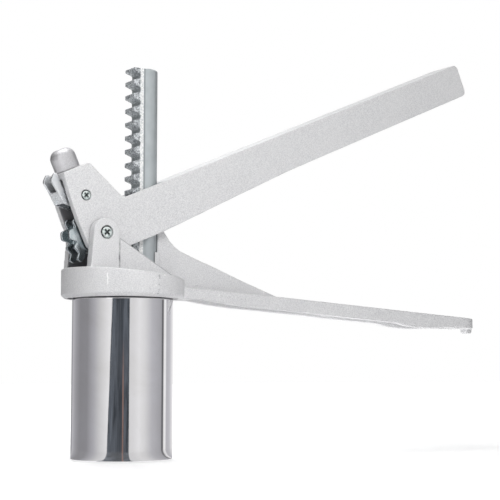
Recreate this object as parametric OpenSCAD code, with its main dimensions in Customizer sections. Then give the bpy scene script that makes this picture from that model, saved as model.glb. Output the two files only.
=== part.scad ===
// Lever noodle press. A toothed rack carries a round piston down a steel barrel and pushes dough
// through the die plate at its mouth. A hinged lever drives the rack with a sprung pawl, and a second
// sprung pawl on the same pivot holds it. The origin is the centre of the barrel's mouth, +Z runs up
// the barrel and +X towards the ends of the two handles. All sizes are in millimetres.

/* [Barrel] */
// Outer diameter of the barrel
barrel_d = 62; // [56:1:66]
// Length of barrel that shows below the collar
barrel_len = 98; // [85:1:115]
// Wall of the barrel
barrel_wall = 1.2; // [0.8:0.1:1.6]
// Length of barrel held inside the collar
barrel_grip = 8.5; // [8:0.1:9.5]
// Width of the rim that turns in at the mouth
mouth_lip = 2.6; // [2:0.1:4]
// Number of bayonet lugs
lug_count = 2; // [2:1:4]
// Arc covered by one lug, degrees
lug_arc = 24; // [18:1:30]
// Height of a lug
lug_h = 3.6; // [3:0.1:4]
// How far a lug stands out from the barrel
lug_reach = 2.6; // [2:0.1:3]
// Turn from locked to free, degrees
lock_turn = 38; // [34:1:44]

/* [Die plate] */
// Thickness of the die plate
die_t = 3; // [2:0.1:4]
// Diameter of a noodle hole
die_hole_d = 3.6; // [2:0.1:4.5]
// Rings of holes round the middle one
die_rings = 4; // [2:1:4]

/* [Collar] */
// Wall of the collar outside the lugs' groove
collar_wall = 4; // [3:0.1:6]
// Height of the collar at its back, over the shortest part of the pivot side
collar_h = 18; // [16:0.5:20]
// Fall of the collar's top towards the handles, degrees
collar_fall = 5; // [3:0.5:6]
// Height of the lip that carries the lugs
collar_lip = 3.5; // [3:0.1:4]
// Bevel round the collar's lower edge
collar_bevel = 2; // [1:0.1:2.5]

/* [Pivot ears] */
// Distance of the pivot behind the barrel's axis
pivot_back = 21; // [19:0.5:23]
// Height of the pivot above the collar's underside
pivot_h = 38.7; // [36:0.1:42]
// Gap between the two ears
ear_gap = 26; // [26:0.2:28]
// Thickness of an ear
ear_t = 6.5; // [5.5:0.1:7.5]
// Radius of an ear's rounded top
ear_r = 8.7; // [8:0.1:10]
// Thickness of the wall that braces an ear
gusset_t = 3.5; // [3:0.1:5]
// How far that wall stands back from the ear's face
gusset_setback = 2.5; // [1.5:0.1:3.5]

/* [Rack guide and rib] */
// Width of the boss round the back of the rack
guide_w = 14.4; // [13:0.1:14.4]
// Height of the boss above the collar's underside
guide_h = 29.5; // [25:0.5:32]
// Thickness of the rib along the middle
rib_t = 8; // [6:0.5:9]
// Length of the rib along the lower handle
rib_run = 92.7; // [80:0.1:110]
// Height of the rib above the lower handle
rib_rise = 43.1; // [36:0.1:44]

/* [Lower handle] */
// Distance from the barrel's axis to the end of the lower handle
grip_reach = 283; // [240:1:300]
// Width of the lower handle
grip_w = 24; // [22:0.5:30]
// Height that the lower handle's side measures by
grip_h = 10; // [9:0.5:12]
// Wall of the lower handle
grip_wall = 3.5; // [2.5:0.1:4]
// Radius of its corners seen from above
grip_corner = 11; // [5:0.5:11.5]

/* [Lever] */
// Length of the lever from the notch in front of its head
lever_len = 295; // [260:1:320]
// Slope of the lever at rest, degrees
lever_rise = 23.4; // [22:0.1:24.4]
// Width over the two cheeks
lever_w = 25; // [24:0.1:25.4]
// Thickness of a cheek
cheek_t = 5; // [4:0.1:5]
// Thickness of the top wall that joins the cheeks
crown_t = 4; // [3:0.1:4.5]
// Depth of the lever where it leaves the head
neck_depth = 28.3; // [26:0.1:30]
// Depth of the lever at its end
end_depth = 23.2; // [20:0.1:25]
// Height of the head above the pivot
head_h = 42.6; // [41:0.1:44]
// Distance of the head's back corner behind the pivot
head_back = 25.9; // [25:0.1:27]

/* [Thumb knob] */
// Diameter of the knob
knob_d = 15.8; // [14:0.1:18]
// Height of the knob
knob_h = 13.3; // [10:0.1:18]
// Radius of the knob's rounded edge
knob_round = 5.5; // [3:0.1:6.5]
// Diameter of the knob's stem
stem_d = 8; // [6:0.5:9]

/* [Rack] */
// Length of the rack above the piston plate
rack_len = 145; // [135:1:155]
// Width over the teeth
rack_w = 12; // [11:0.1:12.4]
// Radius of the rounded back
rack_back_r = 7.3; // [7:0.1:7.6]
// Distance of the tooth tips from the barrel's axis
rack_off = 3.5; // [3:0.1:5]
// Distance from one tooth to the next
tooth_pitch = 8.6; // [8.4:0.1:8.8]
// Depth of a tooth
tooth_depth = 4.7; // [4:0.1:5]
// Height of a tooth at its tip
tooth_land = 2.6; // [2:0.1:2.8]
// Number of gaps between teeth
tooth_gaps = 15; // [14:1:16]

/* [Piston] */
// Thickness of the piston plate
piston_t = 4; // [3:0.1:5]
// Clearance between the piston plate and the barrel
piston_gap = 0.4; // [0.3:0.05:0.6]
// Diameter of the hub round the foot of the rack
hub_d = 26; // [25:0.5:28]
// Height of the hub
hub_h = 8; // [6:0.1:8.3]

/* [Pins and screws] */
// Diameter of the main pivot pin
main_pin_d = 8; // [7.8:0.1:8.6]
// Diameter of the pin that carries the drive pawl
pawl_pin_d = 6.4; // [6.3:0.1:6.8]
// Diameter of the main screws' heads
main_head_d = 7.4; // [6.8:0.1:7.6]
// Diameter of the small screws' heads
pawl_head_d = 6.1; // [5.6:0.1:6.2]
// Height of a screw's head
screw_head_h = 2.1; // [1.8:0.1:2.3]
// Depth of the cross in a screw's head
cross_depth = 1.3; // [1:0.1:1.5]

/* [Pawls] */
// Width over a pawl's two sides
pawl_w = 13; // [12.6:0.1:13.4]
// Thickness of the steel sheet
sheet_t = 2; // [1.6:0.1:2.4]
// Thickness of a pawl's nose
nose_t = 2.5; // [2.2:0.1:2.8]
// Height of the drive pawl's nose above the main pivot
drive_nose_up = 3.8; // [3.6:0.05:4.2]
// Height of the holding pawl's nose above the collar's underside
hold_nose_up = 19.3; // [18.9:0.05:19.7]
// Reach of the drive pawl's wings behind its pin
drive_wing = 20.6; // [19:0.1:20.6]
// Reach of the holding pawl's wings behind its pin
hold_wing = 19; // [17:0.1:19.4]

/* [Springs] */
// Diameter of the spring wire
wire_d = 1.2; // [1:0.1:1.3]
// Turns of each spring
spring_turns = 4; // [3:1:4]

/* [Hidden] */

// Smoothness of the round shapes
$fn = 96;
// One overrun for every cut
over = 1;
// Clearance of a pin in its bore
pin_gap = 0.05;
// Clearance between parts that slide past each other
slide_gap = 0.3;
// Clearance of the barrel in the collar
socket_gap = 0.4;
// Gap above the barrel in the collar
ceiling_gap = 0.5;
// Step from the barrel to its neck, and how far below the collar the neck starts
neck_step = 0.4;
neck_drop = 0.5;
// Gap between a raised pawl's nose and the tooth tips
nose_gap = 0.4;

// The collar's inside and outside
socket_r = barrel_d / 2 + socket_gap;
groove_r = socket_r + lug_reach;
collar_d = 2 * (groove_r + collar_wall);

// Levels along Z
collar_z = barrel_len;
ceiling_z = collar_z + barrel_grip + ceiling_gap;
piston_top_z = collar_z;
rack_top_z = piston_top_z + rack_len;
pivot_z = collar_z + pivot_h;
pivot = [-pivot_back, pivot_z];

// Points of a circle's arc from one angle to another, for an outline
function arc(centre, r, a0, a1, n) =
    [for (i = [0 : n]) let (a = a0 + (a1 - a0) * i / n) centre + r * [cos(a), sin(a)]];
function unit(v) = v / norm(v);
// An outline whose corner i is rounded with radius radii[i]
function rounded(points, radii, n = 6) = [
    for (i = [0 : len(points) - 1])
        let (
            p = points[i],
            a = unit(points[(i + len(points) - 1) % len(points)] - p),
            b = unit(points[(i + 1) % len(points)] - p),
            half = acos(max(-1, min(1, a * b))) / 2,
            r = radii[i],
            centre = p + unit(a + b) * r / sin(half),
            from = p + a * r / tan(half) - centre,
            to = p + b * r / tan(half) - centre,
            a0 = atan2(from[1], from[0]),
            turn = (atan2(to[1], to[0]) - a0 + 540) % 360 - 180
        )
        for (q = r > 0 ? arc(centre, r, a0, a0 + turn, n) : [p]) q
];
// A point turned about another, counter-clockwise as seen from the front
function turned(p, a) = [p[0] * cos(a) - p[1] * sin(a), p[0] * sin(a) + p[1] * cos(a)];

// An outline in X and Z, made into a slab of a given thickness centred on the middle plane
module slab(points, thickness) {
    rotate([90, 0, 0])
        linear_extrude(thickness, center = true)
            polygon(points);
}
// The same between two distances from the middle plane, on both sides of it
module slab_pair(points, inner, outer) {
    for (side = [-1, 1])
        translate([0, side * (inner + outer) / 2, 0])
            slab(points, outer - inner);
}
// A rod across the middle plane, centred on a point of it
module cross_rod(at, d, length) {
    translate([at[0], 0, at[1]])
        rotate([90, 0, 0])
            cylinder(d = d, h = length, center = true);
}

// The rack's place
rack_root_x = rack_off + tooth_depth;
// Distance from the tooth roots to the centre of the rounded back
back_set = 6.9;
rack_back_x = rack_root_x + back_set;

// The body's outlines
ear_out = ear_gap / 2 + ear_t;
ear_foot_back = 0.99 * sqrt(pow(collar_d / 2, 2) - pow(ear_out, 2));
ear_foot_front = pivot_back - 1.01 * ear_r;
ear_foot_z = collar_z + collar_h / 2;
ear_outline = concat(
    [[-ear_foot_back, ear_foot_z]],
    [[-ear_foot_front, ear_foot_z]],
    arc(pivot, ear_r, 0, 180, 16)
);
// Height of the brace where it leaves the ear, and its length and fall to the collar
brace_h = 36.8;
brace_run = 37.8;
brace_fall = 21.9;
gusset_outline = [
    [-ear_foot_front - ear_t, ear_foot_z],
    [-ear_foot_front - ear_t, collar_z + brace_h],
    [-ear_foot_front, collar_z + brace_h],
    [-ear_foot_front + brace_run, collar_z + brace_h - brace_fall],
    [-ear_foot_front + brace_run, ear_foot_z]
];
gusset_out = ear_out - gusset_setback;

// The rib's top edge, in shares of its run and of its rise, from the guide to the handle
rib_top_shares = [
    [0, 1], [0.027, 1], [0.046, 0.926], [0.097, 0.777], [0.136, 0.697], [0.176, 0.640],
    [0.255, 0.573], [0.334, 0.510], [0.415, 0.452], [0.661, 0.253], [1, 0]
];
rib_x = rack_back_x + rack_back_r - 0.07 * rack_back_r;
guide_len = rack_back_r * 0.97;
rib_foot_z = collar_z + 0.39 * grip_h;
rib_outline = concat(
    [for (s = rib_top_shares) [rib_x + s[0] * rib_run, rib_foot_z + s[1] * rib_rise]],
    [[rib_x + rib_run, rib_foot_z - grip_wall / 2], [rib_x, rib_foot_z - grip_wall / 2]]
);

// The lower handle's side: shares of its reach and of its height measure, above the collar's underside
grip_top_shares = [[0.109, 0.84], [0.392, 0.41], [0.695, -0.12], [1, -0.65]];
grip_under_shares = [
    [1, -1.33], [0.894, -1.33], [0.829, -1.4], [0.794, -1.37], [0.76, -1.27], [0.73, -1.09],
    [0.576, -0.83], [0.46, -0.59], [0.348, -0.39], [0.29, -0.3], [0.235, -0.15], [0.183, 0.06], [0.109, 0.06]
];
function grip_points(shares, drop) = [for (s = shares) [s[0] * grip_reach, collar_z + s[1] * grip_h - drop]];
grip_end_round = 5;
grip_outline = rounded(
    concat(grip_points(grip_top_shares, 0), grip_points(grip_under_shares, 0)),
    [for (i = [0 : len(grip_top_shares) + len(grip_under_shares) - 1])
        i == len(grip_top_shares) - 1 ? grip_end_round : 0]
);
grip_plan = rounded(
    [[0, -grip_w / 2], [grip_reach, -grip_w / 2], [grip_reach, grip_w / 2], [0, grip_w / 2]],
    [0, grip_corner, grip_corner, 0]
);
// The small tab that hangs from its end
tab_w = 8;
tab_shares = [[0.986, -1], [1, -1], [1, -1.7], [0.986, -1.66]];
tab_outline = rounded(grip_points(tab_shares, 0), [0, 0, grip_end_round / 5, grip_end_round / 4]);
// The hollow under the lower handle
hollow_from_share = 0.164;
hollow_to_share = 0.95;
hollow_top_shares = [[hollow_from_share, 0.75], [0.392, 0.41], [0.695, -0.12], [hollow_to_share, -0.56]];
hollow_outline = concat(
    grip_points(hollow_top_shares, grip_wall),
    [
        [hollow_to_share * grip_reach, collar_z - 2 * grip_h],
        [hollow_from_share * grip_reach, collar_z - 2 * grip_h]
    ]
);

// The lever, in distances from the main pivot at rest
notch_front = 14.6;
notch_up = 22.55;
notch_at = [notch_front, notch_up];
head_top = 8.9;
head_fall = 7.8;
// A point at a distance along the lever's top edge and a depth below it
function along(s, d) =
    notch_at + s * [cos(lever_rise), sin(lever_rise)] + d * [sin(lever_rise), -cos(lever_rise)];
head_back_at = [-head_back, head_h - head_fall];
head_front_at = [-head_top, head_h];
heel_r = 10.5;
// Rounding of the lever's outline at each corner, in shares of the heel's radius
lever_round_shares = [0.14, 0.24, 0.57, 0.33, 0.33, 0, 0, 0, 0, 2.86, 0.76, 0.67, 0.48, 1.14, 5.7];
// The lever's underside from its end to the neck, in shares of its length and of its neck's depth
lever_under_shares = [[0.72, 0.835], [0.42, 0.858], [0.29, 0.914], [0.2, 0.955], [0.12, 0.995]];
lever_outline = [for (p = rounded(
    concat(
        [head_back_at, head_front_at, notch_at, along(lever_len, 0), along(lever_len, end_depth)],
        [for (s = lever_under_shares) along(s[0] * lever_len, s[1] * neck_depth)],
        [
            along(neck_depth / 2, neck_depth * 1.02),
            [heel_r * 0.9, -heel_r * 1.05],
            [-heel_r * 0.75, -heel_r * 0.95],
            [-0.61 * head_back, 0.16 * head_h],
            [-0.835 * head_back, 0.51 * head_h]
        ]
    ),
    heel_r * lever_round_shares
)) p + pivot];
// The crown's inner edge: the top edge moved in by the crown's thickness
function line_cross(p, u, q, v) =
    let (w = q - p, k = (w[0] * v[1] - w[1] * v[0]) / (u[0] * v[1] - u[1] * v[0])) p + k * u;
function moved_in(p, q, d) = let (u = unit(q - p)) [p + d * [u[1], -u[0]], u];
function inner_corner(p, q, r, d) =
    let (a = moved_in(p, q, d), b = moved_in(q, r, d)) line_cross(a[0], a[1], b[0], b[1]);
top_path = [head_back_at, head_front_at, notch_at, along(lever_len, 0), along(lever_len, end_depth)];
inner_path = [for (i = [1 : 3]) inner_corner(top_path[i - 1], top_path[i], top_path[i + 1], crown_t)];
head_dir = unit(head_front_at - head_back_at);
end_dir = unit(top_path[4] - top_path[3]);
inner_round = 3;
inner_outline = [for (p = rounded(
    concat(
        [inner_path[0] - 2 * head_back * head_dir],
        inner_path,
        [
            inner_path[2] + 2 * end_depth * end_dir,
            [inner_path[2][0], -3 * head_h],
            [-3 * head_back, -3 * head_h]
        ]
    ),
    [0, inner_round, inner_round, inner_round, 0, 0, 0]
)) p + pivot];

// The drive pawl's pin, and the middle of the knob's seat on the head
pawl_pin_back = 10.6;
pawl_pin_up = 22.4;
pawl_pin_at = pivot + [-pawl_pin_back, pawl_pin_up];
knob_at = pivot + (head_back_at + head_front_at) / 2;
head_slope = atan2(head_dir[1], head_dir[0]);
slot_gap = 1.2;
slot_front = pivot[0] + 0.76 * notch_at[0];
slot_back = rack_back_x + rack_back_r + slot_gap;

// The pawls, in distances from their pins
nose_x = rack_off - nose_gap;
drive_nose = [nose_x - pawl_pin_at[0], pivot_z + drive_nose_up - pawl_pin_at[1]];
hold_nose = [nose_x - pivot[0], hold_nose_up - pivot_h];
// Corner below a nose's tip, square to the line from the pin
function nose_under(nose, back) = nose - nose_t * turned(unit(nose), 90) - back * unit(nose);
function nose_back(nose, back) = nose - back * unit(nose);
// A point in shares of a nose's length, along the nose and square to it
function on_nose(nose, s) = norm(nose) * (s[0] * unit(nose) + s[1] * turned(unit(nose), 90));
// The drive pawl's outline: under its nose, round its wings in shares of their reach, and over its nose
drive_under_shares = [[0.654, -0.145], [0.248, -0.141]];
drive_wing_shares = [
    [-0.194, -0.364], [-0.592, -0.262], [-0.786, 0.078], [-1, 0.398], [-0.893, 0.641],
    [-0.806, 0.602], [-0.714, 0.388], [-0.583, 0.146], [0, 0.34]
];
drive_over_shares = [[0.124, 0.199], [0.572, 0.116]];
// Rounding at each corner of the outline, in shares of the nose's thickness
drive_round_shares = [0.08, 0.12, 0, 1.6, 2.4, 2.4, 0.4, 0.6, 0.88, 0.48, 0.32, 1.6, 1.2, 2.4, 2, 2.4];
drive_outline = [for (p = rounded(
    concat(
        [drive_nose, nose_under(drive_nose, 0), nose_under(drive_nose, nose_t)],
        [for (s = drive_under_shares) on_nose(drive_nose, s)],
        drive_wing * drive_wing_shares,
        [for (s = drive_over_shares) on_nose(drive_nose, s)]
    ),
    nose_t * drive_round_shares
)) p + pawl_pin_at];
// The holding pawl's, in shares of its wings' reach and of the pivot's height over the collar's back
hold_wing_shares = [
    [0.474, -0.652], [0, -0.406], [-0.368, -0.459], [-0.442, -0.725], [-0.537, -0.879],
    [-0.705, -0.773], [-0.642, -0.589], [-0.821, -0.425], [-0.695, -0.261], [-0.968, -0.203],
    [-1, 0.048], [-0.768, 0.155], [-0.895, 0.309], [-0.758, 0.464], [-0.558, 0.357],
    [0, 0.348], [0.526, -0.174]
];
hold_round_shares = [
    0.08, 0.12, 0, 1.2, 2, 0.8, 0.8, 0.48, 0.56, 0.32,
    0.56, 0.32, 0.72, 0.88, 0.32, 0.64, 0.72, 1.2, 2.4, 2
];
hold_outline = [for (p = rounded(
    concat(
        [hold_nose, nose_under(hold_nose, 0), nose_under(hold_nose, nose_t)],
        [for (s = hold_wing_shares) [s[0] * hold_wing, s[1] * (pivot_h - collar_h)]]
    ),
    nose_t * hold_round_shares
)) p + pivot];

// Angle of the first gate, and the angle by which a gate is wider than its lug
gate_angle = 152;
gate_clear = 3;
module bayonet_arcs(inner_r, outer_r, z, h, arc_angle, turn) {
    for (i = [0 : lug_count - 1])
        rotate([0, 0, gate_angle + i * 360 / lug_count + turn - arc_angle / 2])
            translate([0, 0, z])
                rotate_extrude(angle = arc_angle)
                    translate([inner_r, 0])
                        square([outer_r - inner_r, h]);
}

// The rack's section with a clearance round it
module rack_section(gap, front) {
    translate([rack_back_x, 0])
        circle(r = rack_back_r + gap);
    translate([front, -rack_w / 2 - gap])
        square([rack_back_x - front, rack_w + 2 * gap]);
}

module body_casting() {
    color("gainsboro")
        difference() {
            union() {
                difference() {
                    union() {
                        translate([0, 0, collar_z])
                            cylinder(d1 = collar_d - 2 * collar_bevel, d2 = collar_d, h = collar_bevel);
                        translate([0, 0, collar_z + collar_bevel])
                            cylinder(d = collar_d, h = collar_h - collar_bevel);
                    }
                    translate([-collar_d / 2, 0, collar_z + collar_h])
                        rotate([0, collar_fall, 0])
                            translate([-collar_d, -collar_d, 0])
                                cube([4 * collar_d, 2 * collar_d, collar_d]);
                }
                slab_pair(ear_outline, ear_gap / 2, ear_out);
                slab_pair(gusset_outline, gusset_out - gusset_t, gusset_out);
                translate([rack_back_x, -guide_w / 2, ceiling_z])
                    cube([guide_len, guide_w, collar_z + guide_h - ceiling_z]);
                slab(rib_outline, rib_t);
                slab(tab_outline, tab_w);
                intersection() {
                    slab(grip_outline, grip_w);
                    translate([0, 0, collar_z - 3 * grip_h])
                        linear_extrude(5 * grip_h)
                            polygon(grip_plan);
                }
            }
            slab(hollow_outline, grip_w - 2 * grip_wall);
            // The barrel's socket, with the lugs' groove and gates
            translate([0, 0, collar_z - grip_h])
                cylinder(r = socket_r, h = ceiling_z - collar_z + grip_h);
            translate([0, 0, collar_z + collar_lip])
                cylinder(r = groove_r, h = ceiling_z - collar_z - collar_lip);
            bayonet_arcs(socket_r - over, groove_r - socket_gap / 2, collar_z - over, collar_lip + 2 * over,
                lug_arc + gate_clear, 0);
            // The way for the rack
            translate([0, 0, ceiling_z - over])
                linear_extrude(rib_rise + guide_h)
                    rack_section(slide_gap, rack_off - slide_gap);
            cross_rod(pivot, main_pin_d + 2 * pin_gap, 2 * ear_out + 2 * over);
        }
}

main_pin_len = 2 * (ear_out - screw_head_h);
pawl_pin_len = lever_w - 2 * screw_head_h;
thread_share = 0.52;

module hollow_pin(at, d, length) {
    bore_d = d * thread_share + 2 * pin_gap;
    difference() {
        cross_rod(at, d, length);
        cross_rod(at, bore_d, length + 2 * over);
    }
}
// A cross-head screw at each end of a pin
module pin_screws(at, pin_d, head_d, pin_len) {
    shank_d = pin_d * thread_share;
    shank_len = 9;
    blade = head_d / 6;
    for (side = [-1, 1])
        translate([at[0], side * pin_len / 2, at[1]])
            rotate([-90 * side, 0, 0])
                difference() {
                    union() {
                        translate([0, 0, -shank_len])
                            cylinder(d = shank_d, h = shank_len + over);
                        cylinder(d = head_d, h = screw_head_h * 0.7);
                        translate([0, 0, screw_head_h * 0.7])
                            cylinder(d1 = head_d, d2 = head_d * 0.72, h = screw_head_h * 0.3);
                    }
                    for (turn = [45, 135])
                        rotate([0, 0, turn])
                            translate([-head_d * 0.3, -blade / 2, screw_head_h - cross_depth])
                                cube([head_d * 0.6, blade, cross_depth + over]);
                }
}

module main_pin() {
    color("silver")
        hollow_pin(pivot, main_pin_d, main_pin_len);
}
module main_pin_screws() {
    color("lightgray")
        pin_screws(pivot, main_pin_d, main_head_d, main_pin_len);
}
module pawl_pin() {
    color("silver")
        hollow_pin(pawl_pin_at, pawl_pin_d, pawl_pin_len);
}
module pawl_pin_screws() {
    color("lightgray")
        pin_screws(pawl_pin_at, pawl_pin_d, pawl_head_d, pawl_pin_len);
}

module lever_casting() {
    channel_w = lever_w - 2 * cheek_t;
    color("gainsboro")
        difference() {
            slab(lever_outline, lever_w);
            slab(inner_outline, channel_w);
            // The slot in the crown that the rack passes through
            translate([slot_front, -channel_w / 2, pivot_z])
                cube([slot_back - slot_front, channel_w, head_h + rib_rise]);
            cross_rod(pivot, main_pin_d + 2 * pin_gap, lever_w + 2 * over);
            cross_rod(pawl_pin_at, pawl_pin_d + 2 * pin_gap, lever_w + 2 * over);
            on_head()
                translate([0, 0, -2 * crown_t])
                    cylinder(d = stem_d + 2 * pin_gap, h = 3 * crown_t);
        }
}

// Moves its children to the knob's seat, with +Z square to the head's top
module on_head() {
    translate([knob_at[0], 0, knob_at[1]])
        rotate([0, -head_slope, 0])
            children();
}

knob_screw_d = 4;
knob_screw_head_d = 7.6;
knob_screw_head_h = 2.4;
knob_screw_len = 9;

module thumb_knob() {
    r = knob_d / 2;
    color("gainsboro")
        on_head()
            difference() {
                union() {
                    rotate_extrude()
                        polygon(concat(
                            [[0, 0], [r, 0]],
                            arc([r - knob_round, knob_h - knob_round], knob_round, 0, 80, 10),
                            [[0, knob_h]]
                        ));
                    translate([0, 0, -crown_t])
                        cylinder(d = stem_d, h = crown_t + over);
                }
                translate([0, 0, -crown_t - over])
                    cylinder(d = knob_screw_d + 2 * pin_gap, h = knob_screw_len + over);
            }
}

module knob_screw() {
    slot_w = knob_screw_head_d / 6;
    head_z = -crown_t - knob_screw_head_h;
    color("silver")
        on_head()
            difference() {
                union() {
                    translate([0, 0, -crown_t])
                        cylinder(d = knob_screw_d, h = knob_screw_len - over);
                    translate([0, 0, head_z])
                        cylinder(d = knob_screw_head_d, h = knob_screw_head_h);
                }
                for (turn = [0, 90])
                    rotate([0, 0, turn])
                        translate([-knob_screw_head_d * 0.3, -slot_w / 2, head_z - over])
                            cube([knob_screw_head_d * 0.6, slot_w, over + knob_screw_head_h / 2]);
            }
}

// The parts of a pawl that both share: two sides, a nose bar across them and a bridge over the spring's
// leg, with room between the bridge and the leg for the pawl's swing away from the rack
bridge_run = 4.5;
bar_run = 6;
spring_bore_gap = 0.6;
module pawl_body(outline, at, nose, pin_d, bridge_at, swing_gap) {
    under = pin_d / 2 + spring_bore_gap - swing_gap;
    d = unit(nose);
    n = turned(d, 90);
    bar = [
        nose, nose_under(nose, 0), nose_under(nose, bar_run), nose_back(nose, bar_run)
    ];
    bridge = [
        bridge_at * d - under * n,
        (bridge_at + bridge_run) * d - under * n,
        (bridge_at + bridge_run) * d - (under - sheet_t) * n,
        bridge_at * d - (under - sheet_t) * n
    ];
    difference() {
        union() {
            slab_pair(outline, pawl_w / 2 - sheet_t, pawl_w / 2);
            slab([for (p = bar) p + at], pawl_w - sheet_t);
            slab([for (p = bridge) p + at], pawl_w - sheet_t);
        }
        cross_rod(at, pin_d + 2 * pin_gap, pawl_w + 2 * over);
    }
}

// How far along each nose its bridge starts
drive_bridge_at = 8;
hold_bridge_at = 13;
drive_swing_gap = 0.95;
hold_swing_gap = 1.25;

module drive_pawl() {
    web_shares = [[-0.592, -0.262], [-0.5, -0.223], [-0.694, 0.097], [-0.786, 0.078]];
    color("silver")
        union() {
            pawl_body(drive_outline, pawl_pin_at, drive_nose, pawl_pin_d, drive_bridge_at, drive_swing_gap);
            slab([for (s = web_shares) s * drive_wing + pawl_pin_at], pawl_w - sheet_t);
        }
}

module hold_pawl() {
    web_shares = [[-0.568, -0.29], [-0.463, -0.29], [-0.463, 0.27], [-0.568, 0.27]];
    color("silver")
        union() {
            pawl_body(hold_outline, pivot, hold_nose, main_pin_d, hold_bridge_at, hold_swing_gap);
            slab(
                [for (s = web_shares) [s[0] * hold_wing, s[1] * (pivot_h - collar_h)] + pivot],
                pawl_w - sheet_t
            );
        }
}

// Torsion springs: one wire that comes straight in, winds round the pin and leaves straight
ring_sides = 6;
rings_per_turn = 8;
coil_pitch = 1.75;
// A spring's wire: the middle of each ring, its place across the spring and its outward direction.
// The first leg lies along first_angle as seen from the coil, and the last leg along last_angle.
function spring_path(at, r, first_angle, first_len, last_angle, last_len) =
    let (
        from = first_angle + 90,
        sweep = last_angle - 90 + 360 * spring_turns - from,
        count = ceil(sweep / 360 * rings_per_turn),
        width = coil_pitch * sweep / 360,
        first_dir = [cos(first_angle), sin(first_angle)],
        last_dir = [cos(last_angle), sin(last_angle)],
        start = at + r * [cos(from), sin(from)],
        stop = at + r * [cos(from + sweep), sin(from + sweep)]
    )
    concat(
        [for (s = [1, 0.5]) [start + s * first_len * first_dir, -width / 2, from]],
        [for (i = [0 : count])
            let (a = from + sweep * i / count)
            [at + r * [cos(a), sin(a)], -width / 2 + width * i / count, a]],
        [for (s = [0.5, 1]) [stop + s * last_len * last_dir, width / 2, from + sweep]]
    );
function ring_points(row) = [
    for (k = [0 : ring_sides - 1])
        let (
            w = 360 * k / ring_sides,
            radial = wire_d / 2 * cos(w),
            side = wire_d / 2 * sin(w)
        )
        [row[0][0] + radial * cos(row[2]), row[1] + side, row[0][1] + radial * sin(row[2])]
];
module wire(path) {
    count = len(path);
    points = [for (row = path) for (q = ring_points(row)) q];
    sides = [
        for (i = [0 : count - 2]) for (k = [0 : ring_sides - 1])
            let (a = i * ring_sides + k, b = i * ring_sides + (k + 1) % ring_sides)
            for (f = [[a, b, b + ring_sides], [a, b + ring_sides, a + ring_sides]]) f
    ];
    last = (count - 1) * ring_sides;
    caps = [
        for (k = [1 : ring_sides - 2])
            for (f = [[0, k + 1, k], [last, last + k, last + k + 1]]) f
    ];
    polyhedron(points = points, faces = concat(sides, caps));
}
// Least gap between wire points that are more than half a turn apart
function wire_gap(path) =
    let (
        points = [for (row = path) for (q = ring_points(row)) q],
        rows = len(path),
        apart = rings_per_turn / 2 + 1
    )
    min([
        for (i = [0 : rows - 1]) for (j = [i + apart : 1 : rows - 1])
            for (k = [0 : ring_sides - 1]) for (m = [0 : ring_sides - 1])
                norm(points[i * ring_sides + k] - points[j * ring_sides + m])
    ]);

drive_spring_r = pawl_pin_d / 2 + spring_bore_gap + wire_d / 2;
hold_spring_r = main_pin_d / 2 + spring_bore_gap + wire_d / 2;
// The fixed legs end square to the crown's underside and to the collar's top
crown_reach = (head_back_at + pivot - pawl_pin_at) * turned(head_dir, 90) - crown_t;
roof_drop = collar_h - (collar_d / 2 - pivot_back) * tan(collar_fall);
roof_reach = (pivot_h - roof_drop) * cos(collar_fall);
drive_spring_path = spring_path(
    pawl_pin_at, drive_spring_r, head_slope + 90, crown_reach - slide_gap,
    atan2(drive_nose[1], drive_nose[0]), drive_bridge_at + bridge_run + wire_d
);
hold_spring_path = spring_path(
    pivot, hold_spring_r, -90 - collar_fall, roof_reach - slide_gap,
    atan2(hold_nose[1], hold_nose[0]), hold_bridge_at + bridge_run + wire_d
);
echo(drive_spring_gap = wire_gap(drive_spring_path), hold_spring_gap = wire_gap(hold_spring_path));

module drive_spring() {
    color("lightsteelblue")
        wire(drive_spring_path);
}
module hold_spring() {
    color("lightsteelblue")
        wire(hold_spring_path);
}

// The rack's teeth: each gap has two sloping flanks and a rounded root
first_tooth_drop = 4.9;
first_gap_z = rack_top_z - first_tooth_drop;
flank_rise = 1.6;
root_round = 1.1;
tip_round = 0.6;
gap_outline = rounded(
    [
        [-over, -tooth_pitch + tooth_land / 2],
        [0, -tooth_pitch + tooth_land / 2],
        [tooth_depth, -tooth_pitch + tooth_land / 2 + flank_rise],
        [tooth_depth, -tooth_land / 2 - flank_rise],
        [0, -tooth_land / 2],
        [-over, -tooth_land / 2]
    ],
    [0, tip_round, root_round, root_round, tip_round, 0]
);
rack_chamfer = 0.8;
foot_screw_d = 5;
foot_screw_len = 14;

module rack_rod() {
    outside = rack_back_r + over;
    color("darkgray")
        difference() {
            translate([0, 0, piston_top_z])
                linear_extrude(rack_len)
                    rack_section(0, rack_off);
            for (i = [0 : tooth_gaps - 1])
                translate([rack_off, 0, first_gap_z + tooth_pitch / 2 - i * tooth_pitch])
                    slab(gap_outline, rack_w + 4 * over);
            translate([rack_back_x, 0, rack_top_z - rack_chamfer])
                difference() {
                    cylinder(r = outside, h = rack_chamfer + over);
                    translate([0, 0, -over])
                        cylinder(
                            r1 = outside, r2 = outside - rack_chamfer - 2 * over,
                            h = rack_chamfer + 2 * over
                        );
                    translate([-2 * outside, -outside, -over])
                        cube([2 * outside, 2 * outside, rack_chamfer + 3 * over]);
                }
            translate([rack_back_x - rack_back_r / 2, 0, piston_top_z - over])
                cylinder(d = foot_screw_d + 2 * pin_gap, h = foot_screw_len + over);
        }
}

foot_x = rack_back_x - rack_back_r / 2;
piston_r = barrel_d / 2 - barrel_wall - piston_gap;
washer_t = 1;
washer_d = 12;
foot_head_d = 9;
foot_head_h = 2.6;

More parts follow.
